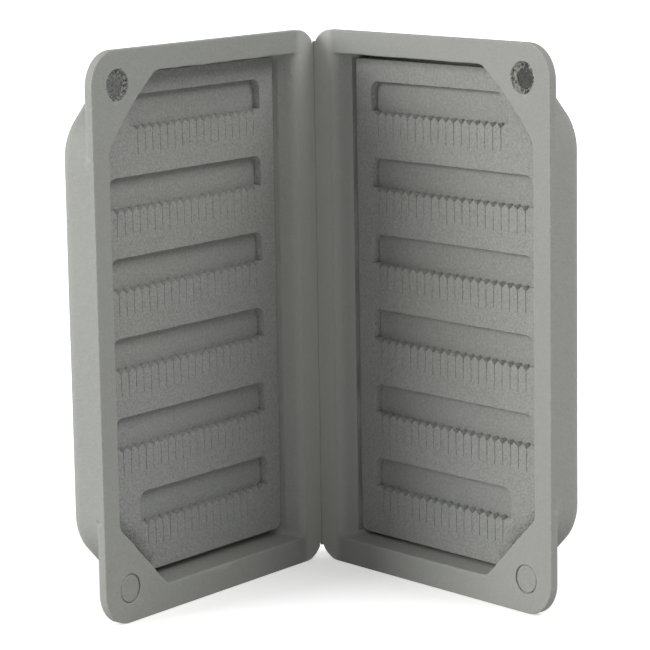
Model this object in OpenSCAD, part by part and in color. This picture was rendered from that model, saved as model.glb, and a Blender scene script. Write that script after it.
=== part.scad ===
// Moulded foam fly box, standing on one end with its two trays open like a book.
// Each tray is drawn lying in its own frame and then swung out to its half of the opening angle:
//   x = distance from the hinge axis, y = height along the hinge, z = depth behind the closing plane.

/* [Overall] */
// Height of the box along the hinge
tray_h = 178; // [150:1:200]
// Width of one tray from the hinge axis to its free edge
tray_w = 109.8; // [100:0.1:125]
// Depth of one tray behind its closing face
tray_d = 13.9; // [13:0.1:18]
// Angle between the two trays as it stands
open_angle = 77; // [20:1:160]
// Distance from each closing face to the closing plane
face_gap = 0.25; // [0.15:0.01:0.6]

/* [Flange] */
// Thickness of the flange round each mouth
flange_t = 3; // [2.6:0.1:4]
// Corner radius of the flange at the free side
free_corner_r = 11; // [8:0.5:16]
// Corner radius of the flange at the hinge side
hinge_corner_r = 8.5; // [6:0.5:12]
// How much of those corners would lie past the hinge axis
hinge_corner_cut = 0.8; // [0:0.1:1.5]

/* [Pan] */
// How far the pan is set in from each end of the flange
pan_end_in = 3.5; // [2:0.1:5]
// How far the pan is set in from the hinge axis
pan_hinge_in = 3.5; // [2:0.1:5]
// Leg of the cut corner of the pan at the lower end of the free side
pan_chamfer_low = 24.5; // [18:0.5:28]
// Leg of the cut corner of the pan at the upper end of the free side
pan_chamfer_high = 22.5; // [18:0.5:28]
// Corner radius of the pan at the hinge side
pan_corner_r = 8; // [5:0.5:12]
// Radius at the ends of the cut corners of the pan
pan_chamfer_r = 17; // [8:0.5:20]
// Radius along the back edge of the pan
pan_back_r = 4; // [1:0.25:4.5]

/* [Mouth] */
// Width of the flange face along the free side
rim_free = 7.4; // [6:0.1:9]
// Width of the flange face along the top end
rim_top = 7.5; // [6.5:0.1:9]
// Width of the flange face along the bottom end
rim_bottom = 8.6; // [6.5:0.1:10]
// Distance from the hinge axis to the wall of the mouth, before it is rounded over
rim_hinge = 9.7; // [8:0.1:11]
// Leg of the cut corners of the mouth at the free side
mouth_chamfer = 22; // [16:0.5:26]
// Radius at the ends of the cut corners
mouth_corner_r = 4; // [1:0.25:6]
// Radius of the mouth corners at the hinge side
mouth_hinge_r = 2; // [1:0.25:4]
// Radius of the soft round-over along the hinge side
roll_r = 3; // [1:0.25:5]
// Slope of the wall at the hinge side
hinge_draft = 18; // [5:0.5:25]
// Distance from the hinge axis to the floor, where the slope of that wall ends
floor_hinge = 12.7; // [11.5:0.1:14]
// Thickness of the foam behind an insert
back_wall = 1.6; // [1:0.1:3]
// Slope of the other three walls
wall_draft = 5; // [1:0.5:8]

/* [Slotted inserts] */
// Thickness of the sheet that backs each insert
backing_t = 2.2; // [1.5:0.1:3]
// Thickness of the slotted sheet, which is the depth of its pockets
sheet_t = 2.8; // [2:0.1:4]
// Spare height of the floor above and below an insert together
insert_slack = 3.75; // [3.3:0.05:6]
// Part of the spare height that lies below the left insert
gap_below_left = 2.12; // [0.5:0.01:2.8]
// Part of the spare height that lies below the right insert
gap_below_right = 0.72; // [0.5:0.01:2.8]
// Clearance between an insert and the side walls
insert_fit = 0.3; // [0.2:0.05:0.6]
// Corner radius of an insert at the hinge side
insert_corner_r = 2.5; // [1:0.25:4]

/* [Pockets] */
// Number of rows of pockets in each insert
rows = 6; // [4:1:6]
// Height of a pocket from its notched lip to its top edge
pocket_h = 9.7; // [8:0.1:11]
// Height of the lowest lip above the lower edge of the insert
first_lip = 16.3; // [15:0.1:18]
// Margin above the pockets of the top row
pocket_top_margin = 5; // [4:0.1:7]
// Margin beside the pockets at the hinge side
pocket_margin = 6.6; // [5:0.1:9]
// Margin beside the pockets at the free side
pocket_free_margin = 6; // [5:0.1:9]
// How much shorter the first and last rows are at the free side
end_row_short = 10.8; // [10:0.1:14]
// Radius of the upper corners of a pocket
pocket_r = 2.6; // [1:0.1:4]
// Leg of the cut corner at the free end of the top row
top_row_cut = 4.2; // [3:0.1:6]
// Distance from one notch to the next
notch_pitch = 3.6; // [3:0.1:5]
// Depth of a notch
notch_d = 1.5; // [0.8:0.1:2]
// Length of the hook slit below each notch
slit_len = 7; // [4:0.25:9]
// Width of a hook slit
slit_w = 0.4; // [0.3:0.05:0.6]

/* [Magnets] */
// Diameter of a magnet
magnet_dia = 7; // [5:0.1:8]
// Thickness of a magnet
magnet_t = 1.6; // [1:0.1:1.8]
// Distance of the magnets from the free side
magnet_in_free = 11; // [9:0.1:12]
// Distance of the magnets from the ends
magnet_in_end = 10.7; // [9:0.1:12]
// Diameter of the shallow recess round an upper magnet
collar_dia = 9.8; // [8.5:0.1:11]
// Depth of the shallow recess round an upper magnet
collar_d = 0.5; // [0.2:0.05:0.7]
// Diameter of the disc that covers a lower magnet
cover_dia = 9.2; // [8.5:0.1:11]
// Thickness of the disc that covers a lower magnet
cover_t = 0.7; // [0.4:0.05:0.9]
// How far a cover disc stands proud of the flange face
cover_proud = 0.12; // [0:0.01:0.14]
// Clearance round a magnet or cover disc
disc_fit = 0.05; // [0.02:0.01:0.1]

/* [Hinge] */
// Radius of the fold that runs along the hinge axis
fold_r = 0.45; // [0.35:0.01:0.6]
// Thickness of the web that joins the fold to the right tray
web_t = 0.9; // [0.8:0.05:1.2]
// Clearance between the fold and the edge of the left tray
fold_fit = 0.15; // [0.1:0.01:0.3]
// Radius of the front edge of the flange along the fold
crease_r = 0.3; // [0.1:0.05:0.5]

/* [Hidden] */

$fn = 48;
eps = 0.01;
hull_fn = 32;
corner_steps = 5;
roll_steps = 10;

// Depths behind the closing plane
face_z = face_gap;
flange_back_z = face_gap + flange_t;
back_z = face_gap + tray_d;
insert_t = backing_t + sheet_t;
mouth_depth = tray_d - back_wall - insert_t;
sheet_z = face_gap + mouth_depth;
backing_z = sheet_z + sheet_t;

// Foot of the walls, where an insert lies
floor_depth = mouth_depth + insert_t;
wall_run = floor_depth * tan(wall_draft);
floor_x1 = tray_w - rim_free - wall_run;
knee_depth = (floor_hinge - rim_hinge) / tan(hinge_draft);
floor_y0 = rim_bottom + wall_run;
floor_y1 = tray_h - rim_top - wall_run;
floor_chamfer = mouth_chamfer - wall_run * (2 - sqrt(2));

// Start and depth of the round-over at the hinge side
roll_x = rim_hinge - roll_r * tan((90 - hinge_draft) / 2);
roll_depth = roll_r * (1 - sin(hinge_draft));

// Insert
insert_x0 = floor_hinge + insert_fit;
insert_w = floor_x1 - floor_hinge - 2 * insert_fit;
insert_h = floor_y1 - floor_y0 - insert_slack;
insert_y_left = floor_y0 + gap_below_left;
insert_y_right = floor_y0 + gap_below_right;
insert_chamfer = floor_chamfer;
pocket_x0 = pocket_margin;
pocket_x1 = insert_w - pocket_free_margin;
row_pitch = (insert_h - first_lip - pocket_h - pocket_top_margin) / (rows - 1);

// Edge of each tray beside the fold
edge_x = fold_r + fold_fit;

// Centre of the flange's corners at the hinge side, and height of the notch they leave between the trays
hinge_corner_x = hinge_corner_r - hinge_corner_cut;
notch_h = hinge_corner_r - sqrt(hinge_corner_r * hinge_corner_r - hinge_corner_x * hinge_corner_x);

// Magnets
magnet_x = tray_w - magnet_in_free;
upper_y = tray_h - magnet_in_end;
lower_y = magnet_in_end;
upper_magnet_z = face_z + collar_d;
lower_magnet_z = face_z - cover_proud + cover_t;

// The whole box is centred front to back over its own footprint
half_angle = open_angle / 2;
front_y = tray_w * cos(half_angle) - face_gap * sin(half_angle);
rear_y = rear_reach();
centre_shift = (front_y - rear_y) / 2;

function rear_reach() =
    max(pan_back_r + (back_z - pan_back_r) * sin(half_angle) - (pan_hinge_in + pan_back_r) * cos(half_angle),
        flange_back_z * sin(half_angle) - edge_x * cos(half_angle));

// Swings the tray frame out to the right half of the opening, with the hinge upright
module right_side() {
    translate([0, centre_shift, 0])
        rotate([0, 0, half_angle - 90])
            mirror([0, 1, 0])
                rotate([90, 0, 0])
                    children();
}

module left_side() {
    mirror([1, 0, 0])
        right_side()
            children();
}

// Places a child at the upper or the lower magnet
module at_magnet(y) {
    translate([magnet_x, y, 0])
        children();
}

// Flat outline of the flange, rounded at the free side and cut off along the fold
module flange_outline() {
    difference() {
        union() {
            translate([0, hinge_corner_r])
                square([hinge_corner_x + eps, tray_h - 2 * hinge_corner_r]);
            translate([hinge_corner_x, 0])
                square([tray_w - hinge_corner_x - free_corner_r, tray_h]);
            translate([tray_w - free_corner_r - eps, free_corner_r])
                square([free_corner_r + eps, tray_h - 2 * free_corner_r]);
            for (y = [hinge_corner_r, tray_h - hinge_corner_r])
                translate([hinge_corner_x, y])
                    circle(r = hinge_corner_r);
            for (y = [free_corner_r, tray_h - free_corner_r])
                translate([tray_w - free_corner_r, y])
                    circle(r = free_corner_r);
        }
        translate([edge_x - hinge_corner_r, 0])
            square([hinge_corner_r, tray_h]);
    }
}

// Corner centres and radii of an outline whose free side has cut corners, cut0 below and cut1 above;
// rh is the corner radius at the hinge side and rf the radius at the ends of the cuts
function cut_corners(x0, x1, y0, y1, cut0, cut1, rh, rf) =
    let (k = rf * (sqrt(2) - 1))
    [[x0 + rh, y0 + rh, rh], [x0 + rh, y1 - rh, rh],
     [x1 - cut1 - k, y1 - rf, rf], [x1 - rf, y1 - cut1 - k, rf],
     [x1 - rf, y0 + cut0 + k, rf], [x1 - cut0 - k, y0 + rf, rf]];

// Deep pan behind the flange, with cut corners at the free side and a rounded back edge
module pan_body() {
    straight_h = tray_d - flange_t / 2 - pan_back_r;
    hull()
        for (c = cut_corners(pan_hinge_in, tray_w, pan_end_in, tray_h - pan_end_in, pan_chamfer_low,
                             pan_chamfer_high, pan_corner_r, pan_chamfer_r))
            translate([c[0], c[1], face_z + flange_t / 2]) {
                cylinder(h = straight_h, r = c[2], $fn = hull_fn);
                translate([0, 0, straight_h])
                    rotate_extrude($fn = hull_fn)
                        intersection() {
                            translate([c[2] - pan_back_r, 0])
                                circle(r = pan_back_r, $fn = hull_fn);
                            square([c[2], pan_back_r]);
                        }
            }
}

// Distance of the wall at the hinge side from the hinge axis at a depth below the closing face:
// first the round-over, which leaves the face at a tangent, then the slope, then straight down
function hinge_wall(depth) =
    depth < roll_depth
        ? roll_x + sqrt(roll_r * roll_r - pow(roll_r - max(depth, 0), 2))
        : min(rim_hinge + depth * tan(hinge_draft), floor_hinge);

// Points of the mouth's outline at a depth below the closing face
function mouth_ring(depth) =
    let (run = depth * tan(wall_draft),
         cut = mouth_chamfer - run * (2 - sqrt(2)),
         corners = cut_corners(hinge_wall(depth), tray_w - rim_free - run, rim_bottom + run,
                               tray_h - rim_top - run, cut, cut, mouth_hinge_r, mouth_corner_r),
         starts = [270, 180, 90, 45, 0, -45],
         turns = [90, 90, 45, 45, 45, 45])
    [for (i = [0 : 5])
        for (k = [0 : corner_steps])
            let (a = starts[i] - k * turns[i] / corner_steps)
                [corners[i][0] + corners[i][2] * cos(a), corners[i][1] + corners[i][2] * sin(a),
                 face_z + depth]];

// Space inside the tray, from in front of the closing face down to the floor
module mouth() {
    depths = concat([-1], [for (k = [0 : roll_steps]) roll_depth * pow(k / roll_steps, 2)],
                    [min(knee_depth, floor_depth - eps), floor_depth]);
    rings = [for (d = depths) mouth_ring(d)];
    n = len(rings[0]);
    last = (len(depths) - 1) * n;
    polyhedron(
        points = [for (ring = rings) for (p = ring) p],
        faces = concat(
            [[for (j = [0 : n - 1]) n - 1 - j]],
            [for (k = [0 : len(depths) - 2])
                for (j = [0 : n - 1])
                    for (t = [0, 1])
                        let (a = k * n + j, b = k * n + (j + 1) % n)
                            t == 0 ? [a, b, b + n] : [a, b + n, a + n]],
            [[for (j = [0 : n - 1]) last + j]]));
}

// Rounded front edge where the flange meets the fold
module crease_cut() {
    translate([edge_x, tray_h, face_z])
        rotate([90, 0, 0])
            linear_extrude(tray_h)
                difference() {
                    translate([-1, -1])
                        square([crease_r + 1, crease_r + 1]);
                    translate([crease_r, crease_r])
                        circle(r = crease_r);
                }
}

module shell() {
    difference() {
        union() {
            translate([0, 0, face_z])
                linear_extrude(flange_t)
                    flange_outline();
            pan_body();
        }
        mouth();
        crease_cut();
        at_magnet(upper_y)
            magnet_seat(collar_dia, collar_d, upper_magnet_z);
        at_magnet(lower_y)
            magnet_seat(cover_dia + 2 * disc_fit, cover_t - cover_proud, lower_magnet_z);
    }
}

// Stepped hole: a shallow wide recess with the magnet's own hole below it
module magnet_seat(wide_dia, wide_d, magnet_z) {
    translate([0, 0, face_z - 1])
        cylinder(h = 1 + wide_d, d = wide_dia);
    translate([0, 0, magnet_z - eps])
        cylinder(h = magnet_t + eps, d = magnet_dia + 2 * disc_fit);
}

// Outline of an insert, with rounded corners at the hinge side and cut corners at the free side
module insert_outline() {
    r = insert_corner_r;
    union() {
        polygon([[r, 0], [insert_w - insert_chamfer, 0], [insert_w, insert_chamfer],
                 [insert_w, insert_h - insert_chamfer], [insert_w - insert_chamfer, insert_h], [r, insert_h]]);
        translate([0, r])
            square([r + eps, insert_h - 2 * r]);
        for (y = [r, insert_h - r])
            translate([r, y])
                circle(r = r);
    }
}

// Opening of a pocket, with rounded upper corners and a cut one at the free end where cut is over 0
module pocket_opening(x0, x1, cut) {
    r = pocket_r;
    difference() {
        union() {
            translate([x0, 0])
                square([x1 - x0, pocket_h - r]);
            translate([x0 + r, 0])
                square([x1 - x0 - 2 * r, pocket_h]);
            for (x = [x0 + r, x1 - r])
                translate([x, pocket_h - r])
                    circle(r = r);
        }
        if (cut > 0)
            polygon([[x1 - cut, pocket_h], [x1, pocket_h - cut], [x1 + cut, pocket_h + cut]]);
    }
}

// One pocket with its opening, a notched lower lip and a hook slit below each notch
module pocket(x0, x1, cut) {
    count = floor((x1 - x0) / notch_pitch);
    first = (x0 + x1 - count * notch_pitch) / 2;
    union() {
        pocket_opening(x0, x1, cut);
        for (i = [0 : count - 1])
            translate([first + (i + 0.5) * notch_pitch, 0]) {
                polygon([[-notch_pitch / 2, 0], [0, -notch_d], [notch_pitch / 2, 0], [0, eps]]);
                translate([-slit_w / 2, -notch_d - slit_len])
                    square([slit_w, slit_len + notch_d / 2]);
            }
    }
}

module slotted_sheet() {
    linear_extrude(sheet_t)
        difference() {
            insert_outline();
            for (i = [0 : rows - 1]) {
                top = i == rows - 1;
                short = i == 0 || top ? end_row_short : 0;
                translate([0, first_lip + i * row_pitch])
                    pocket(pocket_x0, pocket_x1 - short, top ? top_row_cut : 0);
            }
        }
}

module backing() {
    linear_extrude(backing_t)
        insert_outline();
}

module magnet() {
    cylinder(h = magnet_t, d = magnet_dia);
}

module cover_disc() {
    cylinder(h = cover_t, d = cover_dia);
}

module shell_left() {
    color([0.58, 0.58, 0.55])
        left_side()
            shell();
}

module shell_right() {
    color([0.58, 0.58, 0.55])
        right_side()
            shell();
}

// Round fold on the hinge axis with the thin web that joins it to the right tray
module hinge_web() {
    color([0.5, 0.5, 0.47])
        right_side()
            translate([0, tray_h - notch_h, 0])
                rotate([90, 0, 0])
                    linear_extrude(tray_h - 2 * notch_h)
                        union() {
                            circle(r = fold_r);
                            square([edge_x, web_t]);
                        }
}

module backing_left() {
    color([0.45, 0.45, 0.44])
        left_side()
            translate([insert_x0, insert_y_left, backing_z])
                backing();
}

module backing_right() {
    color([0.45, 0.45, 0.44])
        right_side()
            translate([insert_x0, insert_y_right, backing_z])
                backing();
}

module slotted_sheet_left() {
    color([0.52, 0.52, 0.51])
        left_side()
            translate([insert_x0, insert_y_left, sheet_z])
                slotted_sheet();
}

module slotted_sheet_right() {
    color([0.52, 0.52, 0.51])
        right_side()
            translate([insert_x0, insert_y_right, sheet_z])
                slotted_sheet();
}

module magnet_upper_left() {
    color([0.4, 0.4, 0.4])
        left_side()
            at_magnet(upper_y)
                translate([0, 0, upper_magnet_z])
                    magnet();
}

module magnet_upper_right() {
    color([0.4, 0.4, 0.4])
        right_side()
            at_magnet(upper_y)
                translate([0, 0, upper_magnet_z])
                    magnet();
}

module magnet_lower_left() {
    color([0.4, 0.4, 0.4])
        left_side()
            at_magnet(lower_y)
                translate([0, 0, lower_magnet_z])
                    magnet();
}

module magnet_lower_right() {
    color([0.4, 0.4, 0.4])
        right_side()
            at_magnet(lower_y)
                translate([0, 0, lower_magnet_z])
                    magnet();
}

module cover_disc_left() {
    color([0.6, 0.6, 0.57])
        left_side()
            at_magnet(lower_y)
                translate([0, 0, face_z - cover_proud])
                    cover_disc();
}

module cover_disc_right() {
    color([0.6, 0.6, 0.57])
        right_side()
            at_magnet(lower_y)
                translate([0, 0, face_z - cover_proud])
                    cover_disc();
}

shell_left();
shell_right();
hinge_web();
backing_left();
backing_right();
slotted_sheet_left();
slotted_sheet_right();
magnet_upper_left();
magnet_upper_right();
magnet_lower_left();
magnet_lower_right();
cover_disc_left();
cover_disc_right();
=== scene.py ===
"""Moulded foam fly box, standing open like a book, dressed over its CAD frame.

Every tray is drawn in its own frame, in millimetres: u runs from the hinge axis to the free side,
v up along the hinge and w from the closing plane back into the tray. An outline's x and y are u and v,
and in an insert they are counted from its lower corner at the hinge.
"""
import math
import random

import bmesh
import bpy
from mathutils import Matrix, Vector, noise
from mathutils.geometry import delaunay_2d_cdt


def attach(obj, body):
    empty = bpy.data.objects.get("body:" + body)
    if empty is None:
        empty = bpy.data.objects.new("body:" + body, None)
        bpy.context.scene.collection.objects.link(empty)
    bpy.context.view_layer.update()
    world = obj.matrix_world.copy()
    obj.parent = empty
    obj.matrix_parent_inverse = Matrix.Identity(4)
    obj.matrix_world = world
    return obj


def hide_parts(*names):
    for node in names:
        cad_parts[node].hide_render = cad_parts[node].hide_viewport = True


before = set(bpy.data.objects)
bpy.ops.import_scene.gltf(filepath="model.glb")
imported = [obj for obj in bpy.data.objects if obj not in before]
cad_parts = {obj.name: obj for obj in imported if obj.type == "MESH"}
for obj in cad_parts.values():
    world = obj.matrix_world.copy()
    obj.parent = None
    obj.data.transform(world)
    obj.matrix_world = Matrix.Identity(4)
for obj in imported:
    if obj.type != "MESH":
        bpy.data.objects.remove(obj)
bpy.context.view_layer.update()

LEFT, RIGHT = -1, 1
BODY = {LEFT: "left_tray", RIGHT: "right_tray"}
WORD = {LEFT: "left", RIGHT: "right"}
ROOT_2 = math.sqrt(2)

# Sizes of the CAD model, in millimetres, and half the angle between the trays
HALF_ANGLE = math.radians(38.5)
CENTRE_SHIFT = 40.663
TRAY_H, TRAY_W, TRAY_D = 178.0, 109.8, 13.9
FACE, FLANGE_BACK = 0.25, 3.25
BACK = FACE + TRAY_D
EDGE_X = 0.6
FREE_R, HINGE_R, HINGE_CUT, NOTCH_H = 11.0, 8.5, 0.8, 4.9
PAN_IN, PAN_CUT_LOW, PAN_CUT_HIGH = 3.5, 24.5, 22.5
PAN_R, PAN_CUT_R, PAN_BACK_R = 8.0, 17.0, 4.0
RIM_FREE, RIM_TOP, RIM_BOTTOM, RIM_HINGE, FLOOR_HINGE = 7.4, 7.5, 8.6, 9.7, 12.7
MOUTH_CUT, MOUTH_R, MOUTH_HINGE_R = 22.0, 4.0, 2.0
ROLL_R = 3.0
DRAFT, HINGE_DRAFT = math.tan(math.radians(5)), math.tan(math.radians(18))
ROLL_X = RIM_HINGE - ROLL_R * math.tan(math.radians(36))
ROLL_DEPTH = ROLL_R * (1 - math.sin(math.radians(18)))
FLOOR_DEPTH = 12.3
SHEET, BACKING, FLOOR = 7.55, 10.35, 12.55
INSERT_U, INSERT_W, INSERT_H, INSERT_CUT, INSERT_R = 13.0, 88.02, 156.0, 21.37, 2.5
INSERT_V = {LEFT: 11.8, RIGHT: 10.4}
ROWS, ROW_PITCH, FIRST_LIP, POCKET_H = 6, 25.0, 16.3, 9.7
POCKET_X0, POCKET_X1, END_SHORT, TOP_CUT = 6.6, 82.02, 10.8, 4.2
NOTCH_PITCH, NOTCH_D, SLIT_LEN = 3.6, 1.5, 7.0
SLIT_REACH = NOTCH_D + SLIT_LEN
MAGNET_U, UPPER_V, LOWER_V, MAGNET_R, MAGNET_T = 98.8, 167.3, 10.7, 3.5, 1.6

# Sizes that follow the photo where the solids differ from it
CUT_MORE, CUT_BULGE = 0.9, 1.2
MOUTH_EDGE_R = 0.5
TOP_MORE = {LEFT: 1.7, RIGHT: 2.2}
TOP_HINGE_R = 1.1
POCKET_R, SLIT_W = 3.3, 0.09
GROOVE_FROM, GROOVE_TO = 6.2, 9.0
GROOVE = {LEFT: 0.4, RIGHT: 1.9}
HAND_CUT = {LEFT: 0.15, RIGHT: 0.4}

# Torn recesses of the upper magnets: how far they lie off the magnet, their radius and the tear's,
# the depth of the foam under the magnet's face and the depth that no tear goes beyond
SEAT_SHIFT, SEAT_R, TEAR_R, SEAT_FLOOR, SEAT_LIMIT = 0.9, 6.6, 5.15, 1.15, 2.3
UPPER_SEAT = (MAGNET_U - SEAT_SHIFT, UPPER_V)
# Recesses of the foam discs over the lower magnets
COVER_U = {LEFT: MAGNET_U - 0.45, RIGHT: MAGNET_U - 0.2}
COVER_V = LOWER_V + 0.25
COVER_SEAT_R = 5.2
SEAT_N = 132


# ---------------------------------------------------------------- camera, light and floor

# Camera fitted to the straight edges of the photographed box: yaw, pitch and roll in degrees
CAMERA_TURN = (1.4854, 9.8271, -0.9414)
CAMERA_PLACE = (-0.02235, -0.90773, 0.24371)
CAMERA_LENS, CAMERA_SENSOR = 159.94, 36
# Name, place, size in metres and power in watts; both lights face the middle of the box
LIGHTS = [("key", (-1.4, -0.6, 0.6), 0.8, 20.5),
          ("top_right", (1.2, -0.6, 1.4), 1.0, 15.5)]
BOX_MIDDLE = (0, 0, 0.09)
SKY_STRENGTH = 0.43
SEEN_BY = ("Is Camera Ray", "Is Glossy Ray", "Is Transmission Ray")
WHITE = (1, 1, 1, 1)
FLOOR_HALF = 8.0
# Grey level of the floor as it lights the box, and as it is seen
FLOOR_GREY, FLOOR_SEEN = 0.6, 0.95
# Distance from the box in metres and the floor's glow there
GLOW_NEAR, GLOW_FAR = (0.1, 0.42), (0.4, 1.0)


def make_camera():
    yaw, pitch, roll = (math.radians(a) for a in CAMERA_TURN)
    forward = Vector((math.sin(yaw) * math.cos(pitch), math.cos(yaw) * math.cos(pitch), -math.sin(pitch)))
    level = Vector((math.cos(yaw), -math.sin(yaw), 0))
    upright = level.cross(forward)
    right = level * math.cos(roll) + upright * math.sin(roll)
    up = upright * math.cos(roll) - level * math.sin(roll)
    data = bpy.data.cameras.new("camera")
    data.sensor_width = CAMERA_SENSOR
    data.lens = CAMERA_LENS
    data.clip_start = 0.05
    camera = bpy.data.objects.new("camera", data)
    bpy.context.collection.objects.link(camera)
    turn = Matrix((right, up, -forward)).transposed().to_4x4()
    camera.matrix_world = Matrix.Translation(CAMERA_PLACE) @ turn
    bpy.context.scene.camera = camera


def area_light(name, place, size, power):
    data = bpy.data.lights.new(name, "AREA")
    data.shape = "SQUARE"
    data.size = size
    data.energy = power
    light = bpy.data.objects.new(name, data)
    bpy.context.collection.objects.link(light)
    light.location = place
    light.rotation_euler = (Vector(BOX_MIDDLE) - Vector(place)).to_track_quat("-Z", "Y").to_euler()


def seen_directly(nodes, links):
    """1 where a surface is seen straight, in a mirror or through glass, else 0."""
    path = nodes.new("ShaderNodeLightPath")
    value = path.outputs[SEEN_BY[0]]
    for ray in SEEN_BY[1:]:
        either = nodes.new("ShaderNodeMath")
        either.operation = "MAXIMUM"
        links.new(value, either.inputs[0])
        links.new(path.outputs[ray], either.inputs[1])
        value = either.outputs[0]
    return value


def make_world():
    """Soft light from all round, behind a backdrop that is seen as plain white."""
    world = bpy.data.worlds.new("studio")
    bpy.context.scene.world = world
    world.use_nodes = True
    nodes, links = world.node_tree.nodes, world.node_tree.links
    nodes.clear()
    out = nodes.new("ShaderNodeOutputWorld")
    mix = nodes.new("ShaderNodeMixShader")
    soft = nodes.new("ShaderNodeBackground")
    soft.inputs["Color"].default_value = WHITE
    soft.inputs["Strength"].default_value = SKY_STRENGTH
    white = nodes.new("ShaderNodeBackground")
    white.inputs["Color"].default_value = WHITE
    links.new(seen_directly(nodes, links), mix.inputs["Fac"])
    links.new(soft.outputs[0], mix.inputs[1])
    links.new(white.outputs[0], mix.inputs[2])
    links.new(mix.outputs[0], out.inputs["Surface"])


def make_floor():
    """Pale floor that is seen brighter away from the box, so that it ends in the white backdrop."""
    mesh = bpy.data.meshes.new("floor")
    corners = [(-FLOOR_HALF, -FLOOR_HALF, 0), (FLOOR_HALF, -FLOOR_HALF, 0),
               (FLOOR_HALF, FLOOR_HALF, 0), (-FLOOR_HALF, FLOOR_HALF, 0)]
    mesh.from_pydata(corners, [], [(0, 1, 2, 3)])
    floor = bpy.data.objects.new("floor", mesh)
    bpy.context.collection.objects.link(floor)
    mat = bpy.data.materials.new("floor")
    mat.use_nodes = True
    nodes, links = mat.node_tree.nodes, mat.node_tree.links
    nodes.clear()
    out = nodes.new("ShaderNodeOutputMaterial")
    direct = seen_directly(nodes, links)
    tone = nodes.new("ShaderNodeMix")
    tone.data_type = "RGBA"
    tone.inputs[6].default_value = (FLOOR_GREY, FLOOR_GREY, FLOOR_GREY, 1)
    tone.inputs[7].default_value = (FLOOR_SEEN, FLOOR_SEEN, FLOOR_SEEN, 1)
    links.new(direct, tone.inputs[0])
    matte = nodes.new("ShaderNodeBsdfDiffuse")
    links.new(tone.outputs[2], matte.inputs["Color"])
    far = nodes.new("ShaderNodeVectorMath")
    far.operation = "LENGTH"
    links.new(nodes.new("ShaderNodeTexCoord").outputs["Object"], far.inputs[0])
    rise = nodes.new("ShaderNodeMapRange")
    for (distance, strength), end in ((GLOW_NEAR, "Min"), (GLOW_FAR, "Max")):
        rise.inputs["From " + end].default_value = distance
        rise.inputs["To " + end].default_value = strength
    links.new(far.outputs["Value"], rise.inputs["Value"])
    scale = nodes.new("ShaderNodeMath")
    scale.operation = "MULTIPLY"
    links.new(direct, scale.inputs[0])
    links.new(rise.outputs[0], scale.inputs[1])
    glow = nodes.new("ShaderNodeEmission")
    links.new(scale.outputs[0], glow.inputs["Strength"])
    add = nodes.new("ShaderNodeAddShader")
    links.new(matte.outputs[0], add.inputs[0])
    links.new(glow.outputs[0], add.inputs[1])
    links.new(add.outputs[0], out.inputs["Surface"])
    floor.data.materials.append(mat)


def make_studio():
    bpy.context.scene.view_settings.view_transform = "Standard"
    make_world()
    make_floor()
    for light in LIGHTS:
        area_light(*light)


# ---------------------------------------------------------------- materials

class Graph:
    """Short calls for wiring one material."""

    def __init__(self, name):
        self.material = bpy.data.materials.new(name)
        self.material.use_nodes = True
        self.nodes = self.material.node_tree.nodes
        self.links = self.material.node_tree.links
        self.shader = self.nodes["Principled BSDF"]
        self.place = self.nodes.new("ShaderNodeTexCoord").outputs["Object"]

    def noise(self, scale, detail, rough=0.5):
        node = self.nodes.new("ShaderNodeTexNoise")
        node.inputs["Scale"].default_value = scale
        node.inputs["Detail"].default_value = detail
        node.inputs["Roughness"].default_value = rough
        self.links.new(self.place, node.inputs["Vector"])
        return node.outputs["Fac"]

    def cells(self, scale):
        node = self.nodes.new("ShaderNodeTexVoronoi")
        node.inputs["Scale"].default_value = scale
        self.links.new(self.place, node.inputs["Vector"])
        return node.outputs["Distance"]

    def ramp(self, value, stops):
        """Maps value through two stops, each a position and a grey level or a colour."""
        node = self.nodes.new("ShaderNodeValToRGB")
        for element, (position, level) in zip(node.color_ramp.elements, stops):
            element.position = position
            element.color = (level, level, level, 1) if isinstance(level, float) else (*level, 1)
        self.links.new(value, node.inputs["Fac"])
        return node.outputs["Color"]

    def mix(self, a, b, factor=1.0, blend="MULTIPLY"):
        node = self.nodes.new("ShaderNodeMix")
        node.data_type = "RGBA"
        node.blend_type = blend
        if isinstance(factor, float):
            node.inputs[0].default_value = factor
        else:
            self.links.new(factor, node.inputs[0])
        for socket, value in ((node.inputs[6], a), (node.inputs[7], b)):
            if isinstance(value, tuple):
                socket.default_value = (*value, 1)
            else:
                self.links.new(value, socket)
        return node.outputs[2]

    def maths(self, operation, a, b=0.0):
        node = self.nodes.new("ShaderNodeMath")
        node.operation = operation
        for socket, value in zip(node.inputs, (a, b)):
            if isinstance(value, float):
                socket.default_value = value
            else:
                self.links.new(value, socket)
        return node.outputs[0]

    def bump(self, height, distance, strength, below=None):
        node = self.nodes.new("ShaderNodeBump")
        node.inputs["Strength"].default_value = strength
        node.inputs["Distance"].default_value = distance
        self.links.new(height, node.inputs["Height"])
        if below is not None:
            self.links.new(below, node.inputs["Normal"])
        return node.outputs["Normal"]

    def fold_distance(self):
        """Distance across a tray from the hinge axis, in metres."""
        parts = self.nodes.new("ShaderNodeSeparateXYZ")
        self.links.new(self.place, parts.inputs[0])
        aside = self.maths("MULTIPLY", self.maths("ABSOLUTE", parts.outputs[0]), math.sin(HALF_ANGLE))
        ahead = self.maths("SUBTRACT", CENTRE_SHIFT / 1000, parts.outputs[1])
        return self.maths("ADD", aside, self.maths("MULTIPLY", ahead, math.cos(HALF_ANGLE)))

    def finish(self, color, roughness, normal):
        self.links.new(color, self.shader.inputs["Base Color"])
        self.links.new(roughness, self.shader.inputs["Roughness"])
        self.links.new(normal, self.shader.inputs["Normal"])
        return self.material


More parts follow.
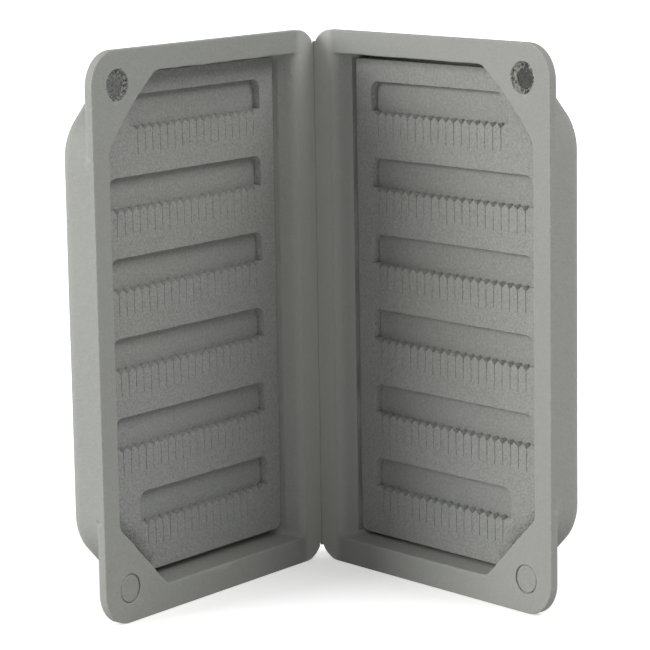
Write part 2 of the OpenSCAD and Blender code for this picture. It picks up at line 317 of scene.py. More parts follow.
def foam(name, base, speckle, grain, pores, skin, edge_wear_and_highlight, fold_light_and_lines=False):
    """Closed-cell foam: mottled colour, a speckle of cells, fine grain, a smooth or open skin, edges paler
    partly from rubbing and partly as a painted highlight.

    speckle and pores say how much darker specks and open cells are, grain how coarse the surface is,
    skin how rough it is and the argument after skin how pale the edges get, partly from rubbing and partly
    as a painted highlight on rims and arrises.
    """
    g = Graph(name)
    cloud = g.ramp(g.noise(24, 4.0, 0.6), [(0.3, 0.955), (0.7, 1.0)])
    drift = g.ramp(g.noise(7, 2.0), [(0.35, (0.985, 1.0, 1.0)), (0.65, (1.0, 0.997, 0.985))])
    specks = g.ramp(g.noise(1250, 3.0, 0.65), [(0.3, 1.0 - speckle), (0.7, 1.0)])
    dots = g.ramp(g.cells(900), [(0.0, 1.0 - pores), (0.22, 1.0)])
    color = g.mix(g.mix(g.mix(g.mix(base, cloud), drift), specks), dots)
    # Pointiness makes edges paler: partly pale from rubbing, partly a painted highlight on rims and arrises
    edge = g.nodes.new("ShaderNodeNewGeometry").outputs["Pointiness"]
    worn = g.ramp(edge, [(0.5, 0.0), (0.56, edge_wear_and_highlight)])
    color = g.mix(color, tuple(min(1.0, c * 1.35) for c in base), worn, "MIX")
    rough = g.ramp(g.noise(420, 3.0), [(0.3, skin - 0.08), (0.7, skin + 0.06)])
    normal = g.bump(g.noise(60, 3.0), 0.0012, 0.25)
    normal = g.bump(g.noise(480, 3.0, 0.6), grain * 0.0005, 0.5, normal)
    normal = g.bump(g.noise(1900, 2.0, 0.6), grain * 0.00022, 0.6, normal)
    normal = g.bump(g.cells(1400), grain * 0.00012, 0.5, normal)
    if fold_light_and_lines:
        # Painted light: the foam beside the fold is made paler, to lift the shade in the valley between the
        # trays, and the mould left fine lines along it
        reach = g.fold_distance()
        centimetres = g.maths("MULTIPLY", reach, 100.0)
        near = g.ramp(centimetres, [(0.7, 1.0), (0.97, 0.0)])
        color = g.mix(color, tuple(c * 1.42 for c in base), g.maths("MULTIPLY", near, 0.75), "MIX")
        lines = g.nodes.new("ShaderNodeTexNoise")
        lines.noise_dimensions = "1D"
        lines.inputs["Scale"].default_value = 2600
        lines.inputs["Detail"].default_value = 1.0
        g.links.new(reach, lines.inputs["W"])
        close = g.ramp(centimetres, [(0.35, 1.0), (0.6, 0.0)])
        normal = g.bump(g.maths("MULTIPLY", lines.outputs["Fac"], close), 0.00025, 0.6, normal)
    g.shader.inputs["Specular IOR Level"].default_value = 0.3
    return g.finish(color, rough, normal)


def magnet_metal(name, paleness):
    """Dull grey nickel, mottled; the second argument makes the whole colour paler or darker."""
    g = Graph(name)
    dark, pale = ((level * paleness, level * paleness, level * paleness * 0.97) for level in (0.08, 0.16))
    stain = g.ramp(g.noise(700, 4.0, 0.65), [(0.3, dark), (0.62, pale)])
    specks = g.ramp(g.noise(2200, 2.0), [(0.38, 0.55), (0.6, 1.0)])
    color = g.mix(stain, specks)
    rough = g.ramp(g.noise(900, 3.0), [(0.3, 0.38), (0.7, 0.62)])
    normal = g.bump(g.noise(1500, 3.0), 0.00018, 0.5)
    g.shader.inputs["Metallic"].default_value = 0.2
    g.shader.inputs["Specular IOR Level"].default_value = 0.25
    return g.finish(color, rough, normal)


# The shell's foam is painted paler beside the fold, as light in the shaded valley between the trays
SHELL_FOAM = foam("shell_foam", (0.335, 0.338, 0.318), 0.07, 1.0, 0.05, 0.72, 0.35, True)
SHEET_FOAM = foam("sheet_foam", (0.368, 0.371, 0.354), 0.3, 2.2, 0.2, 0.82, 0.05)
BACKING_FOAM = foam("backing_foam", (0.352, 0.355, 0.339), 0.24, 1.8, 0.15, 0.84, 0.05)
COVER_FOAM = foam("cover_foam", (0.335, 0.338, 0.32), 0.12, 1.5, 0.1, 0.75, 0.3)
# The torn foam's strongly paler edges are mostly a painted highlight on the torn rims and shreds, with some
# paleness from rubbing
TORN_FOAM = foam("torn_foam", (0.3, 0.302, 0.285), 0.5, 4.0, 0.4, 0.9, 1.0)
# One metal in two copies of different brightness: the left magnet's is paler than the right's
MAGNET = {LEFT: magnet_metal("magnet_paler", 1.45), RIGHT: magnet_metal("magnet_darker", 0.55)}


# ---------------------------------------------------------------- mesh helpers

def place(side, point):
    """Tray frame in millimetres to the CAD frame in metres."""
    u, v, w = point
    s, c = math.sin(HALF_ANGLE), math.cos(HALF_ANGLE)
    return side * (s * u + c * w) / 1000, (CENTRE_SHIFT - c * u + s * w) / 1000, v / 1000


def waver(x, y, z):
    """Smooth noise between about -1 and 1; different places keep its uses apart."""
    return noise.noise(Vector((x, y, z)))


class Piece:
    """Points and faces of one piece in the tray frame."""

    def __init__(self):
        self.points, self.faces = [], []

    def ring(self, points):
        start = len(self.points)
        self.points.extend(points)
        return start

    def bridge(self, a, b, n):
        for i in range(n):
            j = (i + 1) % n
            self.faces.append((a + i, a + j, b + j, b + i))

    def loft(self, rings):
        starts = [self.ring(r) for r in rings]
        for a, b in zip(starts, starts[1:]):
            self.bridge(a, b, len(rings[0]))
        return starts

    def cap(self, start, n):
        self.faces.append(tuple(range(start, start + n)))

    def fan(self, start, n, tip):
        k = self.ring([tip])
        for i in range(n):
            self.faces.append((start + i, start + (i + 1) % n, k))

    def flat(self, loops, inside, depth, extra=()):
        """Triangulates the area between loops at one depth, or at depth(x, y)."""
        points, edges = [], []
        for loop in loops:
            first = len(points)
            points.extend(Vector(p[:2]) for p in loop)
            edges.extend((first + i, first + (i + 1) % len(loop)) for i in range(len(loop)))
        points.extend(Vector(p) for p in extra)
        made, _, tris, *_ = delaunay_2d_cdt(points, edges, [], 0, 1e-6)
        start = self.ring([(p.x, p.y, depth(p.x, p.y) if callable(depth) else depth) for p in made])
        for tri in tris:
            middle = sum((made[i] for i in tri), Vector((0, 0))) / 3
            if inside(middle.x, middle.y):
                self.faces.append(tuple(start + i for i in tri))

    def build(self, name, side, material, node, crease, wobble=0.0):
        """Makes the piece. Edges under crease degrees are shaded smooth; wobble is in millimetres."""
        mesh = bpy.data.meshes.new(name)
        mesh.from_pydata([place(side, p) for p in self.points], [], self.faces)
        bm = bmesh.new()
        bm.from_mesh(mesh)
        bmesh.ops.remove_doubles(bm, verts=bm.verts, dist=1.5e-6)
        bmesh.ops.dissolve_degenerate(bm, edges=bm.edges, dist=1e-7)
        bmesh.ops.delete(bm, geom=[v for v in bm.verts if not v.link_faces], context="VERTS")
        bmesh.ops.recalc_face_normals(bm, faces=bm.faces)
        if wobble:
            bm.normal_update()
            moves = []
            for vert in bm.verts:
                low = noise.noise(vert.co * 26 + Vector((side * 7.3, 0, 0)))
                high = noise.noise(vert.co * 110 + Vector((0, side * 3.1, 0)))
                # The lower end stays level, for the box to stand on
                fade = min(1.0, vert.co.z / 0.002)
                moves.append(vert.normal * (wobble / 1000 * fade * (0.88 * low + 0.12 * high)))
            for vert, move in zip(bm.verts, moves):
                vert.co += move
        limit = math.radians(crease)
        for face in bm.faces:
            face.smooth = True
        for edge in bm.edges:
            edge.smooth = len(edge.link_faces) != 2 or edge.calc_face_angle(0) < limit
        bm.to_mesh(mesh)
        bm.free()
        mesh.materials.append(material)
        piece = bpy.data.objects.new(name, mesh)
        bpy.context.collection.objects.link(piece)
        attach(piece, BODY[side])
        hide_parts(node)
        return piece


def within(loop, x, y):
    odd = False
    for (x1, y1), (x2, y2) in zip(loop, loop[1:] + loop[:1]):
        if (y1 > y) != (y2 > y) and x < (x2 - x1) * (y - y1) / (y2 - y1) + x1:
            odd = not odd
    return odd


def circle(cu, cv, r, n):
    angles = [2 * math.pi * k / n for k in range(n)]
    return [(cu + r * math.cos(a), cv + r * math.sin(a)) for a in angles]


def quarter_turn(steps):
    """(1 - sine, 1 - cosine) of the angles from 0 to 90 degrees, for rings round a rounded edge."""
    angles = [math.radians(k * 90 / steps) for k in range(steps + 1)]
    return [(1 - math.sin(a), 1 - math.cos(a)) for a in angles]


# ---------------------------------------------------------------- outlines with cut corners

# Clockwise from the lower corner at the hinge: each corner's first angle and turn in degrees, and the
# number of parts of the straight side after it
STARTS = (270, 180, 90, 45, 0, -45)
TURNS = (90, 90, 45, 45, 45, 45)
SIDES = (30, 16, 20, 28, 20, 16)


def cut_corners(x0, x1, y0, y1, low, high, rh, rf):
    """Centres and radii of the six corners of a box with its free corners cut off, by low and by high."""
    k = rf * (ROOT_2 - 1)
    return [(x0 + rh, y0 + rh, rh), (x0 + rh, y1 - rh, rh), (x1 - high - k, y1 - rf, rf),
            (x1 - rf, y1 - high - k, rf), (x1 - rf, y0 + low + k, rf), (x1 - low - k, y0 + rf, rf)]


def outline(corners, steps=6):
    """Points and outward normals round six rounded corners, always the same count for the same steps."""
    arcs = []
    for (cx, cy, r), start, turn in zip(corners, STARTS, TURNS):
        angles = [math.radians(start - k * turn / steps) for k in range(steps + 1)]
        arcs.append([((cx + r * math.cos(a), cy + r * math.sin(a)), (math.cos(a), math.sin(a)))
                     for a in angles])
    points = []
    for i, arc in enumerate(arcs):
        points.extend(arc)
        (p, n), (q, _) = arc[-1], arcs[(i + 1) % 6][0]
        for j in range(1, SIDES[i]):
            t = j / SIDES[i]
            points.append(((p[0] + (q[0] - p[0]) * t, p[1] + (q[1] - p[1]) * t), n))
    return points


def grown(line, distance, depth):
    """The outline moved out along its normals; distance and depth are one value or one for each point."""
    each = distance if isinstance(distance, list) else [distance] * len(line)
    deep = depth if isinstance(depth, list) else [depth] * len(line)
    return [(p[0] + n[0] * d, p[1] + n[1] * d, w) for (p, n), d, w in zip(line, each, deep)]


# ---------------------------------------------------------------- shells

def flange_distance(x, y):
    """Distance of a point from the flange's outline, negative inside."""
    half_w, half_h = (TRAY_W + HINGE_CUT) / 2, TRAY_H / 2
    dx, dy = x + HINGE_CUT - half_w, y - half_h
    r = FREE_R if dx > 0 else HINGE_R
    qx, qy = abs(dx) - half_w + r, abs(dy) - half_h + r
    return max(math.hypot(max(qx, 0), max(qy, 0)) + min(max(qx, qy), 0) - r, EDGE_X - x)


def flange_line(pan):
    """Where the pan's normals meet the flange's outline, with the flange's normals there, and how far out."""
    line, overhang = [], []
    for (x, y), (nx, ny) in pan:
        near, far = 0.0, 40.0
        for _ in range(40):
            t = (near + far) / 2
            if flange_distance(x + nx * t, y + ny * t) < 0:
                near = t
            else:
                far = t
        px, py = x + nx * near, y + ny * near
        h = 1e-3
        gx = flange_distance(px + h, py) - flange_distance(px - h, py)
        gy = flange_distance(px, py + h) - flange_distance(px, py - h)
        size = math.hypot(gx, gy)
        line.append(((px, py), (gx / size, gy / size)))
        overhang.append(near)
    return line, overhang


def hinge_wall(depth):
    """Where the wall beside the fold stands at a depth below the face: a rolled rim, then a slope."""
    if depth < ROLL_DEPTH:
        return ROLL_X + math.sqrt(ROLL_R ** 2 - (ROLL_R - max(depth, 0)) ** 2)
    return min(RIM_HINGE + depth * HINGE_DRAFT, FLOOR_HINGE)


def mouth_line(depth, outset=0.0, back_off=0.0):
    """Outline of the mouth at a depth below the face; its upper cut side bulges towards the magnet."""
    run = depth * DRAFT
    low = MOUTH_CUT - (run - outset) * (2 - ROOT_2)
    high = low + CUT_MORE
    x0, x1 = hinge_wall(depth) - back_off, TRAY_W - RIM_FREE - run + outset
    y0, y1 = RIM_BOTTOM + run - outset, TRAY_H - RIM_TOP - run + outset
    half = high / ROOT_2
    bulged = []
    for (x, y), (nx, ny) in outline(cut_corners(x0, x1, y0, y1, low, high, MOUTH_HINGE_R, MOUTH_R)):
        out = 0.0
        if min(nx, ny) > 0.05:
            along = ((x - x1) - (y - y1)) / ROOT_2
            out = CUT_BULGE * max(0.0, 1 - (along / half) ** 2)
        bulged.append(((x + out * math.sqrt(0.5), y + out * math.sqrt(0.5)), (nx, ny)))
    return bulged


def ragged(side, x, y, amount):
    """Small unevenness of the trimmed edge of the mouth."""
    wave = waver(x * 0.22, y * 0.22, side * 5.0)
    fine = waver(x * 0.7, y * 0.7, side * 9.0)
    return amount * (0.6 * wave + 0.4 * fine)


def crushed(side, v, depth):
    """Depth of the groove that the edge of the insert has pressed into the wall beside the fold."""
    if not GROOVE_FROM < depth < GROOVE_TO:
        return 0.0
    here = 0.6 + 0.9 * waver(v * 0.09, side * 4.0, 0)
    return GROOVE[side] * min(1.0, max(0.0, here)) * min(1.0, (depth - GROOVE_FROM) / 0.5)


def mouth_rings(side):
    """Rings from the face over the mouth's rounded edge and down its walls to the floor."""
    rings = [grown(mouth_line(0, MOUTH_EDGE_R + 0.4, 0.4), 0.0, FACE)]
    depths = []
    for angle in (90, 66, 42, 20, 0):
        a = math.radians(angle)
        depths.append((MOUTH_EDGE_R * (1 - math.sin(a)), MOUTH_EDGE_R * (1 - math.cos(a))))
    depths += [(d, 0.0) for d in (0.8, 1.15, 1.6, ROLL_DEPTH, 3.0, 4.2, 5.6)]
    depths += [(d, 0.0) for d in (GROOVE_FROM, 6.7, 7.4, 8.3, 9.22, FLOOR_DEPTH)]
    for depth, outset in depths:
        line = mouth_line(depth, outset)
        fade = max(0.0, 1 - depth / 4)
        shift = [ragged(side, x, y, 0.3 * fade) if nx > -0.9 else crushed(side, y, depth)
                 for (x, y), (nx, _) in line]
        rings.append(grown(line, shift, FACE + depth))
    rings.append(grown(mouth_line(FLOOR_DEPTH), -1.0, FACE + FLOOR_DEPTH))
    return rings


# Torn places round the upper magnets: distance from the magnet's middle towards the free side and up,
# radius, depth
PITS = {
    LEFT: [(-1.1, 4.1, 0.5, 0.7), (-0.9, 3.75, 0.45, 0.5), (-2.75, 3.4, 0.5, 0.6), (0.7, 3.7, 0.55, 0.5),
           (-4.4, 1.0, 0.42, 0.7), (-5.0, -0.4, 0.45, 0.9), (-4.6, -2.1, 0.45, 0.6), (0.5, -4.95, 0.5, 0.7),
           (3.75, 1.4, 0.35, 0.4), (-3.8, 2.4, 0.5, 0.5), (2.2, 3.1, 0.4, 0.4), (-5.5, 0.9, 0.3, 0.4)],
    RIGHT: [(-1.8, 3.9, 0.6, 0.8), (-0.1, 4.1, 0.7, 0.9), (0.9, 3.7, 0.5, 0.7), (-2.9, 3.1, 0.4, 0.5),
            (-5.8, 0.9, 0.35, 0.8), (-5.1, -0.8, 0.35, 0.7), (0.15, -4.4, 0.5, 0.9), (-1.6, -3.9, 0.4, 0.6),
            (1.5, -4.0, 0.4, 0.6), (-4.3, -1.5, 0.35, 0.6), (-5.2, 2.0, 0.3, 0.5)]}
# Shreds of foam that stand up or lie over the edge of the magnet, in the same terms
SHREDS = {
    LEFT: [(1.4, 3.3, 0.4, 0.45), (-3.4, 1.0, 0.35, 0.4), (-3.4, -0.3, 0.3, 0.35), (-2.7, -3.0, 0.45, 0.35),
           (3.3, -1.3, 0.3, 0.3), (2.8, -2.5, 0.35, 0.35), (0.2, 2.7, 0.5, 0.5), (-1.6, 2.5, 0.4, 0.45),
           (1.5, -3.4, 0.4, 0.3), (-0.8, -3.6, 0.5, 0.3)],
    RIGHT: [(2.3, 3.3, 0.5, 0.55), (0.4, 1.9, 0.3, 0.5), (-4.3, 0.7, 0.6, 0.55), (-3.3, 1.2, 0.45, 0.5),
            (-3.6, -2.5, 0.5, 0.55), (-1.9, -3.2, 0.35, 0.45), (0.6, -3.7, 0.35, 0.4), (3.7, 1.0, 0.4, 0.3),
            (3.7, -0.6, 0.4, 0.3), (3.3, -2.2, 0.4, 0.3), (-0.9, 2.9, 0.4, 0.5)]}


def heap(spots, x, y):
    return sum(d * math.exp(-((x - u) ** 2 + (y - v) ** 2) / (r * r)) for u, v, r, d in spots)


def seat_depth(side, x, y):
    """Depth of the torn foam round an upper magnet, and of the shreds that lie over the magnet's edge."""
    off = math.hypot(x + SEAT_SHIFT, y) + 0.3 * waver(x * 0.5, y * 0.5, side * 3.7)
    inside = min(1.0, max(0.0, (TEAR_R - off) / 0.5))
    coarse = waver(x * 0.9, y * 0.9, side * 2.0)
    fine = waver(x * 2.3, y * 2.3, side * 11.0)
    shreds = heap(SHREDS[side], x, y)
    lip = 0.07 * math.exp(-((off - 5.3) / 0.28) ** 2)
    w = FACE - lip + inside * (0.55 + 0.4 * coarse + 0.34 * fine)
    w += 1.7 * heap(PITS[side], x, y) * min(1.0, inside + 0.25) - 1.5 * shreds * inside
    if math.hypot(x, y) < MAGNET_R - 0.08 + 0.1 * coarse:
        w = 0.72 - 0.25 * shreds if shreds > 0.27 else SEAT_FLOOR
    return min(max(w, FACE - 0.08), SEAT_LIMIT)


def torn_seat(piece, side):
    """Recess of an upper magnet; its rings draw together from its own middle to the magnet's."""
    rings = []
    tip = 0.4
    for r in [SEAT_R, 6.3, 6.1] + [5.95 - 0.16 * k for k in range(33)] + [tip]:
        shift = SEAT_SHIFT * (r - tip) / (SEAT_R - tip)
        ring = [(x - shift, y) for x, y in circle(0, 0, r, SEAT_N)]
        rings.append([(MAGNET_U + x, UPPER_V + y, seat_depth(side, x, y) if r < 6.2 else FACE)
                      for x, y in ring])
    starts = piece.loft(rings)
    piece.fan(starts[-1], SEAT_N, (MAGNET_U, UPPER_V, SEAT_FLOOR))


def covered_seat(piece, side):
    """Recess for a cover disc, a little out of round, with the magnet's hole below it."""
    recess = [(COVER_SEAT_R, FACE), (4.9, FACE), (4.76, FACE + 0.03), (4.7, FACE + 0.1), (4.66, FACE + 0.25),
              (4.65, 0.86)]
    hole = [(3.62, 0.87), (3.6, 2.45)]
    rings = []
    for k, (r, w) in enumerate(recess + hole):
        u, v = (COVER_U[side], COVER_V) if k < len(recess) else (MAGNET_U, LOWER_V)
        ring = []
        for i in range(SEAT_N):
            a = 2 * math.pi * i / SEAT_N
            dent = 0.1 * waver(math.cos(a) * 3, math.sin(a) * 3, side * 4.0) if 0 < k < len(recess) else 0
            ring.append((u + (r + dent) * math.cos(a), v + (r + dent) * math.sin(a), w))
        rings.append(ring)
    starts = piece.loft(rings)
    piece.fan(starts[-1], SEAT_N, (MAGNET_U, LOWER_V, hole[-1][1]))


def outer_rings():
    """Rings from the back of the pan up its wall, out under the flange and round its edge to the face."""
    pan = outline(cut_corners(PAN_IN, TRAY_W, PAN_IN, TRAY_H - PAN_IN, PAN_CUT_LOW, PAN_CUT_HIGH,
                              PAN_R, PAN_CUT_R), 18)
    flange, overhang = flange_line(pan)
    rings = [grown(pan, -PAN_BACK_R - 0.8, BACK)]
    for s, c in quarter_turn(8):
        rings.append(grown(pan, -PAN_BACK_R * s, BACK - PAN_BACK_R * c))
    for w in (9.5, 7.8, 6.2, 4.8):
        rings.append(grown(pan, 0.0, w))
    fillet = [min(1.0, 0.45 * t) for t in overhang]
    for s, c in quarter_turn(4):
        rings.append(grown(pan, [f * c for f in fillet], [FLANGE_BACK + f * s for f in fillet]))
    back_edge = [0.4 * min(1.0, t / 1.6) for t in overhang]
    for s, c in quarter_turn(3):
        rings.append(grown(flange, [-e * s for e in back_edge], [FLANGE_BACK - e * c for e in back_edge]))
    rings.append(grown(flange, 0.0, 1.9))
    rings.append(grown(flange, 0.0, 0.9))
    front_edge = [0.12 + 0.23 * min(1.0, max(0.0, (x - 1.0) / 2.0)) for (x, _), _ in flange]
    for s, c in quarter_turn(5):
        rings.append(grown(flange, [-e * c for e in front_edge], [FACE + e * s for e in front_edge]))
    rings.append(grown(flange, [-e - 0.3 for e in front_edge], FACE))
    return rings


def face_points(side):
    """Grid on the flange's face for the wobble to move, clear of the edge, the mouth and both seats."""
    wide = [p for p, _ in mouth_line(0, 1.8)]
    seats = ((UPPER_SEAT, SEAT_R + 0.8), ((COVER_U[side], COVER_V), COVER_SEAT_R + 0.8))
    step = 3.2
    points = [(step / 2 + i * step, j * step) for i in range(35) for j in range(56)]
    return [p for p in points if flange_distance(*p) < -1.2 and not within(wide, *p)
            and all(math.dist(p, middle) > r for middle, r in seats)]


def mark_torn(shell, side):
    """Gives the torn foam round the upper magnet its own material, within a depth and a radius in metres."""
    middle = Vector(place(side, (*UPPER_SEAT, 0)))
    back = (Vector(place(side, (0, 0, 1))) - Vector(place(side, (0, 0, 0)))).normalized()
    depth, radius = 0.0028, 0.0049
    shell.data.materials.append(TORN_FOAM)
    for face in shell.data.polygons:
        off = face.center - middle
        deep = off.dot(back)
        if deep < depth and (off - back * deep).length < radius:
            face.material_index = 1


def make_shell(side):
    piece = Piece()
    outer, mouth = outer_rings(), mouth_rings(side)
    starts = piece.loft(outer)
    piece.cap(starts[0], len(outer[0]))
    starts = piece.loft(mouth)
    piece.cap(starts[-1], len(mouth[-1]))
    openings = [[p[:2] for p in mouth[0]],
                circle(*UPPER_SEAT, SEAT_R, SEAT_N),
                circle(COVER_U[side], COVER_V, COVER_SEAT_R, SEAT_N)]
    piece.flat([outer[-1]] + openings, lambda x, y: not any(within(loop, x, y) for loop in openings),
               FACE, face_points(side))
    torn_seat(piece, side)
    covered_seat(piece, side)
    shell = piece.build("foam_shell_" + WORD[side], side, SHELL_FOAM, "shell_" + WORD[side],
                        40, 0.07)
    mark_torn(shell, side)


# ---------------------------------------------------------------- inserts

def offset_loop(loop, distance):
    """Moves a closed loop sideways: to its left for a positive distance."""
    moved = []
    n = len(loop)
    for i, (x, y) in enumerate(loop):
        ax, ay = x - loop[i - 1][0], y - loop[i - 1][1]
        bx, by = loop[(i + 1) % n][0] - x, loop[(i + 1) % n][1] - y
        la, lb = math.hypot(ax, ay), math.hypot(bx, by)
        nx, ny = -ay / la - by / lb, ax / la + bx / lb
        size = math.hypot(nx, ny)
        if size < 0.3:
            moved.append((x, y))
            continue
        nx, ny = nx / size, ny / size
        reach = distance / max(size / 2, 0.45)
        if distance > 0:
            reach = min(reach, distance * 1.9)
        moved.append((x + nx * reach, y + ny * reach))
    return moved


def insert_loop(more=0.0):
    """Anticlockwise outline of an insert in its own frame, with more foam left at the top."""
    corners = cut_corners(0, INSERT_W, 0, INSERT_H + more, INSERT_CUT, INSERT_CUT, INSERT_R, 0.9)
    corners[1] = (TOP_HINGE_R, INSERT_H + more - TOP_HINGE_R, TOP_HINGE_R)
    return [p for p, _ in reversed(outline(corners))]


def seated(side, points):
    """Points of an insert moved to its place in the tray."""
    return [(x + INSERT_U, y + INSERT_V[side], w) for x, y, w in points]


def hand_cut(side, x, y, w):
    """The x of a point of the sheet, since the front edge beside the fold was trimmed by hand."""
    band = 2.5
    if x > band:
        return x
    front = max(0.0, 1 - max(0.0, w - SHEET) / (BACKING - SHEET))
    wave = 0.6 * waver(y * 0.11, side * 6.0, 0) + 0.4 * waver(y * 0.35, side * 2.0, 5.0)
    return x + (HAND_CUT[side] * (wave - 0.35) - 0.45) * front * (1 - max(0.0, x) / band)


def notch_run(x1):
    """Number of notches in the lip of a pocket that ends at x1, and where the first one starts."""
    count = int((x1 - POCKET_X0) // NOTCH_PITCH)
    return count, (POCKET_X0 + x1 - count * NOTCH_PITCH) / 2


def quarter(cx, cy, r, start):
    """Points anticlockwise round a quarter circle, from an angle in degrees."""
    angles = [math.radians(start + k * 15) for k in range(7)]
    return [(cx + r * math.cos(a), cy + r * math.sin(a)) for a in angles]


def pocket_loop(x1, cut, rng):
    """Anticlockwise outline of a pocket that ends at x1, from its notched lip with the slits.

    The upper corner at its end is cut off, or rounded where cut is 0.
    """
    x0 = POCKET_X0
    count, first = notch_run(x1)
    half = NOTCH_PITCH / 2
    slit = SLIT_W / 2
    meet = NOTCH_D * (1 - slit / half)
    lip = [(x0, 0.0)]
    if first - x0 > 0.3:
        lip.append((first - 0.16, 0.0))
    for i in range(count):
        c = first + (i + 0.5) * NOTCH_PITCH
        drift = rng.uniform(-0.1, 0.1)
        deep = SLIT_REACH + rng.uniform(-0.35, 0.25)
        lip += [(c - half + 0.14, -0.07), (c - half * 0.45, -NOTCH_D * 0.56), (c - slit, -meet)]
        for t in (0.25, 0.5, 0.75):
            lip.append((c - slit + drift * t, -meet - (deep - meet) * t))
        lip += [(c - slit + drift, -deep + 0.15), (c + drift, -deep), (c + slit + drift, -deep + 0.15)]
        for t in (0.75, 0.5, 0.25):
            lip.append((c + slit + drift * t, -meet - (deep - meet) * t))
        lip += [(c + slit, -meet), (c + half * 0.45, -NOTCH_D * 0.56), (c + half - 0.14, -0.07)]
    last = first + count * NOTCH_PITCH
    if x1 - last > 0.3:
        lip.append((last + 0.16, 0.0))
    lip.append((x1, 0.0))
    top = [(x1, (POCKET_H - max(POCKET_R, cut)) * k / 4) for k in range(1, 4)]
    if cut:
        top += [(x1, POCKET_H - cut - 0.6), (x1 - 0.25, POCKET_H - cut + 0.35),
                (x1 - cut / 2 - 0.05, POCKET_H - cut / 2 + 0.05),
                (x1 - cut + 0.2, POCKET_H - 0.3), (x1 - cut - 0.9, POCKET_H)]
    else:
        top += quarter(x1 - POCKET_R, POCKET_H - POCKET_R, POCKET_R, 0)
    length = top[-1][0] - (x0 + POCKET_R)
    steps = 16
    for k in range(1, steps):
        top.append((top[-1][0] - length / steps, POCKET_H + 0.05 * math.sin(k * 1.9 + x1)))
    top += quarter(x0 + POCKET_R, POCKET_H - POCKET_R, POCKET_R, 90)
    top += [(x0, (POCKET_H - POCKET_R) * k / 4) for k in range(3, 0, -1)]
    return lip + top


def make_slotted_sheet(side):
    rng = random.Random(41 + side)
    edge = 0.16
    outer = insert_loop(TOP_MORE[side])
    windows, rows = [], []
    for row in range(ROWS):
        top = row == ROWS - 1
        x1 = POCKET_X1 - (END_SHORT if row == 0 or top else 0.0)
        lip = FIRST_LIP + row * ROW_PITCH
        windows.append([(x, y + lip) for x, y in pocket_loop(x1, TOP_CUT if top else 0.0, rng)])
        count, first = notch_run(x1)
        rows.append((first, count, lip, [rng.uniform(-0.1, 0.08) for _ in range(count + 1)]))

    def lift(x, y):
        """How far the sheet bulges forward here: the tongues between the slits curl a little."""
        out = 0.16 * waver(x * 0.045, y * 0.045, side * 2.5)
        for first, count, lip, curl in rows:
            below = lip - y
            if -1e-3 <= below < SLIT_REACH and first - NOTCH_PITCH < x < first + (count + 1) * NOTCH_PITCH:
                k = min(count, max(0, int((x - first) / NOTCH_PITCH + 0.5)))
                t = 1 - below / SLIT_REACH
                out += curl[k] * t * t
        for _, _, lip, _ in rows:
            above = y - lip - POCKET_H
            if -1e-3 <= above < 6:
                out += 0.06 * (1 - above / 6)
        return out

    def in_foam(x, y, loops):
        """Whether a point lies in none of the pockets."""
        return not any(lip - 10 < y < lip + POCKET_H + 1 and within(loop, x, y)
                       for (_, _, lip, _), loop in zip(rows, loops))

    def near_pocket(x, y):
        return any(lip - 9.2 < y < lip + POCKET_H + 0.8
                   and POCKET_X0 - 0.8 < x < first + (count + 1) * NOTCH_PITCH
                   for first, count, lip, _ in rows)

    piece = Piece()
    front_outer = offset_loop(outer, edge)
    front_windows = [offset_loop(loop, -edge * 0.7) for loop in windows]
    grid = [(i * 6.0 - 1.3, j * 6.0) for i in range(1, 15) for j in range(1, 26)]
    grid = [(x, y) for x, y in grid if x + y < INSERT_W + INSERT_H - INSERT_CUT - 4
            and x - y < INSERT_W - INSERT_CUT - 4 and not near_pocket(x, y)]
    piece.flat([front_outer] + front_windows, lambda x, y: in_foam(x, y, front_windows),
               lambda x, y: SHEET - lift(x, y), grid)
    back = BACKING - 0.02
    for loop, front in [(outer, front_outer)] + list(zip(windows, front_windows)):
        piece.loft([[(x, y, SHEET - lift(x, y)) for x, y in front],
                    [(x, y, SHEET + edge - lift(*f)) for (x, y), f in zip(loop, front)],
                    [(x, y, back) for x, y in loop]])
    piece.flat([outer] + windows, lambda x, y: in_foam(x, y, windows), back)
    piece.points = seated(side, [(hand_cut(side, x, y, w), y, w) for x, y, w in piece.points])
    sheet = piece.build("slotted_foam_" + WORD[side], side, SHEET_FOAM,
                        "slotted_sheet_" + WORD[side], 38)


def make_backing(side):
    outer = insert_loop()
    front = offset_loop(outer, 0.2)
    clear = offset_loop(outer, 1.5)

    def depth(x, y):
        dent = 0.1 * waver(x * 0.12, y * 0.12, side * 8.0)
        dent += 0.05 * waver(x * 0.5, y * 0.5, side * 3.0)
        return BACKING + 0.08 + dent

    piece = Piece()
    step = 3.1
    grid = [(i * step, j * step) for i in range(1, 28) for j in range(1, 50)]
    piece.flat([front], lambda x, y: True, depth, [p for p in grid if within(clear, *p)])
    starts = piece.loft([[(x, y, depth(x, y)) for x, y in front],
                         [(x, y, BACKING + 0.3) for x, y in outer],
                         [(x, y, FLOOR - 0.2) for x, y in outer],
                         [(x, y, FLOOR) for x, y in front]])
    piece.cap(starts[-1], len(outer))
    piece.points = seated(side, piece.points)
    backing = piece.build("backing_foam_" + WORD[side], side, BACKING_FOAM,
                          "backing_" + WORD[side], 38)


# ---------------------------------------------------------------- magnets, cover discs and fold

def make_disc(name, side, middle, profile, material, node, relief=lambda x, y: 0.0):
    """Turned disc from a profile of (radius, depth), closed at both ends; relief(x, y) sinks it."""
    piece = Piece()
    n = 96
    rings = [[(middle[0] + x, middle[1] + y, w + relief(x, y)) for x, y in circle(0, 0, r, n)]
             for r, w in profile]
    starts = piece.loft(rings)
    for end in (0, -1):
        piece.fan(starts[end], n, (*middle, profile[end][1] + relief(0, 0)))
    piece.build(name, side, material, node, 35)


